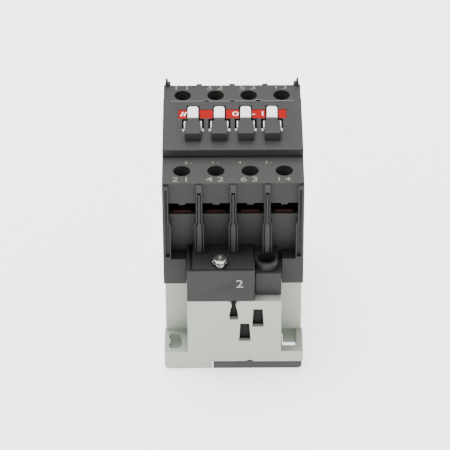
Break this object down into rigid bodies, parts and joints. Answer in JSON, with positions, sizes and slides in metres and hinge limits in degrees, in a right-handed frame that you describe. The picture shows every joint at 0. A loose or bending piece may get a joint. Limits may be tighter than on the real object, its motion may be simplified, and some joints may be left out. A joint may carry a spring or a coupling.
{
  "type": "din rail contactor",
  "caption": "Modular contactor for a mounting rail, with pole terminals at both ends, coil terminals, a moving contact carrier with front tabs, and a sliding rail latch.",
  "frame": {"origin": "centre of the back face, on the plane that rests against the mounting panel", "axes": "+X across the poles to the right, +Y from the load end to the line end, +Z from the back to the front cover"},
  "size_m": [0.054, 0.09, 0.0879],
  "materials": {
    "dark_housing": "moulded dark grey plastic",
    "light_base": "moulded light grey plastic",
    "latch": "mid grey plastic",
    "carrier": "white plastic",
    "bobbin": "black plastic",
    "iron": "laminated iron",
    "copper": "enamelled copper",
    "contact_brass": "plated brass",
    "zinc_steel": "zinc plated steel",
    "rubber": "buffer rubber"
  },
  "bodies": {
    "root": {"base_housing": "light_base", "contact_housing": "dark_housing", "front_cover": "dark_housing", "load_coil_block": "dark_housing", "line_coil_block": "dark_housing", "load_guide_block": "dark_housing", "fixed_core": "iron", "core_buffer": "rubber", "shading_ring_left": "copper", "shading_ring_right": "copper", "coil_bobbin": "bobbin", "coil_winding": "copper", "return_spring_left": "zinc_steel", "return_spring_right": "zinc_steel", "latch_spring": "zinc_steel", "housing_screw_1": "zinc_steel", "housing_screw_2": "zinc_steel", "load_1_contact_bar": "contact_brass", "load_2_contact_bar": "contact_brass", "load_3_contact_bar": "contact_brass", "load_4_contact_bar": "contact_brass", "line_1_contact_bar": "contact_brass", "line_2_contact_bar": "contact_brass", "line_3_contact_bar": "contact_brass", "line_4_contact_bar": "contact_brass"},
    "latch": {"din_rail_latch": "latch"},
    "carrier": {"contact_carrier": "carrier", "armature": "iron", "armature_pin": "zinc_steel", "contact_spring_1": "zinc_steel", "contact_spring_2": "zinc_steel", "contact_spring_3": "zinc_steel", "contact_spring_4": "zinc_steel"},
    "bridge_1": {"moving_contact_1": "contact_brass"},
    "bridge_2": {"moving_contact_2": "contact_brass"},
    "bridge_3": {"moving_contact_3": "contact_brass"},
    "bridge_4": {"moving_contact_4": "contact_brass"},
    "load_1_clamp": {"load_1_clamp": "zinc_steel"},
    "load_1_screw": {"load_1_screw": "zinc_steel"},
    "load_2_clamp": {"load_2_clamp": "zinc_steel"},
    "load_2_screw": {"load_2_screw": "zinc_steel"},
    "load_3_clamp": {"load_3_clamp": "zinc_steel"},
    "load_3_screw": {"load_3_screw": "zinc_steel"},
    "load_4_clamp": {"load_4_clamp": "zinc_steel"},
    "load_4_screw": {"load_4_screw": "zinc_steel"},
    "line_1_clamp": {"line_1_clamp": "zinc_steel"},
    "line_1_screw": {"line_1_screw": "zinc_steel"},
    "line_2_clamp": {"line_2_clamp": "zinc_steel"},
    "line_2_screw": {"line_2_screw": "zinc_steel"},
    "line_3_clamp": {"line_3_clamp": "zinc_steel"},
    "line_3_screw": {"line_3_screw": "zinc_steel"},
    "line_4_clamp": {"line_4_clamp": "zinc_steel"},
    "line_4_screw": {"line_4_screw": "zinc_steel"},
    "load_a2_washer": {"load_a2_washer": "zinc_steel"},
    "load_a2_screw": {"load_a2_screw": "zinc_steel"},
    "line_a2_washer": {"line_a2_washer": "zinc_steel"},
    "line_a2_screw": {"line_a2_screw": "zinc_steel"},
    "line_a1_washer": {"line_a1_washer": "zinc_steel"},
    "line_a1_screw": {"line_a1_screw": "zinc_steel"}
  },
  "joints": [
    {"name": "carrier_slide", "type": "slide", "parent": "root", "child": "carrier", "axis": [0, 0, 1], "range_m": [-0.005, 0], "stiffness_N_per_m": 600, "springref_m": 0.02, "deforming": ["return_spring_left", "return_spring_right"]},
    {"name": "bridge_1_slide", "type": "slide", "parent": "carrier", "child": "bridge_1", "axis": [0, 0, 1], "range_m": [0, 0.0015], "stiffness_N_per_m": 800, "springref_m": -0.006, "deforming": ["contact_spring_1"]},
    {"name": "bridge_2_slide", "type": "slide", "parent": "carrier", "child": "bridge_2", "axis": [0, 0, 1], "range_m": [0, 0.0015], "stiffness_N_per_m": 800, "springref_m": -0.006, "deforming": ["contact_spring_2"]},
    {"name": "bridge_3_slide", "type": "slide", "parent": "carrier", "child": "bridge_3", "axis": [0, 0, 1], "range_m": [0, 0.0015], "stiffness_N_per_m": 800, "springref_m": -0.006, "deforming": ["contact_spring_3"]},
    {"name": "bridge_4_slide", "type": "slide", "parent": "carrier", "child": "bridge_4", "axis": [0, 0, 1], "range_m": [0, 0.0015], "stiffness_N_per_m": 800, "springref_m": -0.006, "deforming": ["contact_spring_4"]},
    {"name": "latch_slide", "type": "slide", "parent": "root", "child": "latch", "axis": [0, -1, 0], "range_m": [0, 0.004], "stiffness_N_per_m": 900, "springref_m": -0.004, "deforming": ["latch_spring"]},
    {"name": "load_1_clamp_slide", "type": "slide", "parent": "root", "child": "load_1_clamp", "axis": [0, 0, 1], "range_m": [-0.0042, 0]},
    {"name": "load_1_screw_turn", "type": "hinge", "parent": "load_1_clamp", "child": "load_1_screw", "pos_m": [-0.0195, -0.0245, 0.0733], "axis": [0, 0, 1], "range_deg": [-2170, 0]},
    {"name": "load_2_clamp_slide", "type": "slide", "parent": "root", "child": "load_2_clamp", "axis": [0, 0, 1], "range_m": [-0.0042, 0]},
    {"name": "load_2_screw_turn", "type": "hinge", "parent": "load_2_clamp", "child": "load_2_screw", "pos_m": [-0.0065, -0.0245, 0.0733], "axis": [0, 0, 1], "range_deg": [-2170, 0]},
    {"name": "load_3_clamp_slide", "type": "slide", "parent": "root", "child": "load_3_clamp", "axis": [0, 0, 1], "range_m": [-0.0042, 0]},
    {"name": "load_3_screw_turn", "type": "hinge", "parent": "load_3_clamp", "child": "load_3_screw", "pos_m": [0.0065, -0.0245, 0.0733], "axis": [0, 0, 1], "range_deg": [-2170, 0]},
    {"name": "load_4_clamp_slide", "type": "slide", "parent": "root", "child": "load_4_clamp", "axis": [0, 0, 1], "range_m": [-0.0042, 0]},
    {"name": "load_4_screw_turn", "type": "hinge", "parent": "load_4_clamp", "child": "load_4_screw", "pos_m": [0.0195, -0.0245, 0.0733], "axis": [0, 0, 1], "range_deg": [-2170, 0]},
    {"name": "line_1_clamp_slide", "type": "slide", "parent": "root", "child": "line_1_clamp", "axis": [0, 0, 1], "range_m": [-0.0042, 0]},
    {"name": "line_1_screw_turn", "type": "hinge", "parent": "line_1_clamp", "child": "line_1_screw", "pos_m": [-0.0195, 0.0255, 0.0733], "axis": [0, 0, 1], "range_deg": [-2170, 0]},
    {"name": "line_2_clamp_slide", "type": "slide", "parent": "root", "child": "line_2_clamp", "axis": [0, 0, 1], "range_m": [-0.0042, 0]},
    {"name": "line_2_screw_turn", "type": "hinge", "parent": "line_2_clamp", "child": "line_2_screw", "pos_m": [-0.0065, 0.0255, 0.0733], "axis": [0, 0, 1], "range_deg": [-2170, 0]},
    {"name": "line_3_clamp_slide", "type": "slide", "parent": "root", "child": "line_3_clamp", "axis": [0, 0, 1], "range_m": [-0.0042, 0]},
    {"name": "line_3_screw_turn", "type": "hinge", "parent": "line_3_clamp", "child": "line_3_screw", "pos_m": [0.0065, 0.0255, 0.0733], "axis": [0, 0, 1], "range_deg": [-2170, 0]},
    {"name": "line_4_clamp_slide", "type": "slide", "parent": "root", "child": "line_4_clamp", "axis": [0, 0, 1], "range_m": [-0.0042, 0]},
    {"name": "line_4_screw_turn", "type": "hinge", "parent": "line_4_clamp", "child": "line_4_screw", "pos_m": [0.0195, 0.0255, 0.0733], "axis": [0, 0, 1], "range_deg": [-2170, 0]},
    {"name": "load_a2_washer_slide", "type": "slide", "parent": "root", "child": "load_a2_washer", "axis": [0, 0, 1], "range_m": [-0.0012, 0]},
    {"name": "load_a2_screw_turn", "type": "hinge", "parent": "load_a2_washer", "child": "load_a2_screw", "pos_m": [-0.00515, -0.041, 0.0508], "axis": [0, 0, 1], "range_deg": [-730, 0]},
    {"name": "line_a2_washer_slide", "type": "slide", "parent": "root", "child": "line_a2_washer", "axis": [0, 0, 1], "range_m": [-0.0012, 0]},
    {"name": "line_a2_screw_turn", "type": "hinge", "parent": "line_a2_washer", "child": "line_a2_screw", "pos_m": [0.00515, 0.041, 0.0508], "axis": [0, 0, 1], "range_deg": [-730, 0]},
    {"name": "line_a1_washer_slide", "type": "slide", "parent": "root", "child": "line_a1_washer", "axis": [0, 0, 1], "range_m": [-0.0012, 0]},
    {"name": "line_a1_screw_turn", "type": "hinge", "parent": "line_a1_washer", "child": "line_a1_screw", "pos_m": [-0.0105, 0.041, 0.0508], "axis": [0, 0, 1], "range_deg": [-730, 0]}
  ],
  "couplings": [
    {"joint": "load_1_screw_turn", "follows": "load_1_clamp_slide", "rad_per_m": 8976},
    {"joint": "load_2_screw_turn", "follows": "load_2_clamp_slide", "rad_per_m": 8976},
    {"joint": "load_3_screw_turn", "follows": "load_3_clamp_slide", "rad_per_m": 8976},
    {"joint": "load_4_screw_turn", "follows": "load_4_clamp_slide", "rad_per_m": 8976},
    {"joint": "line_1_screw_turn", "follows": "line_1_clamp_slide", "rad_per_m": 8976},
    {"joint": "line_2_screw_turn", "follows": "line_2_clamp_slide", "rad_per_m": 8976},
    {"joint": "line_3_screw_turn", "follows": "line_3_clamp_slide", "rad_per_m": 8976},
    {"joint": "line_4_screw_turn", "follows": "line_4_clamp_slide", "rad_per_m": 8976},
    {"joint": "load_a2_screw_turn", "follows": "load_a2_washer_slide", "rad_per_m": 10472},
    {"joint": "line_a2_screw_turn", "follows": "line_a2_washer_slide", "rad_per_m": 10472},
    {"joint": "line_a1_screw_turn", "follows": "line_a1_washer_slide", "rad_per_m": 10472}
  ]
}
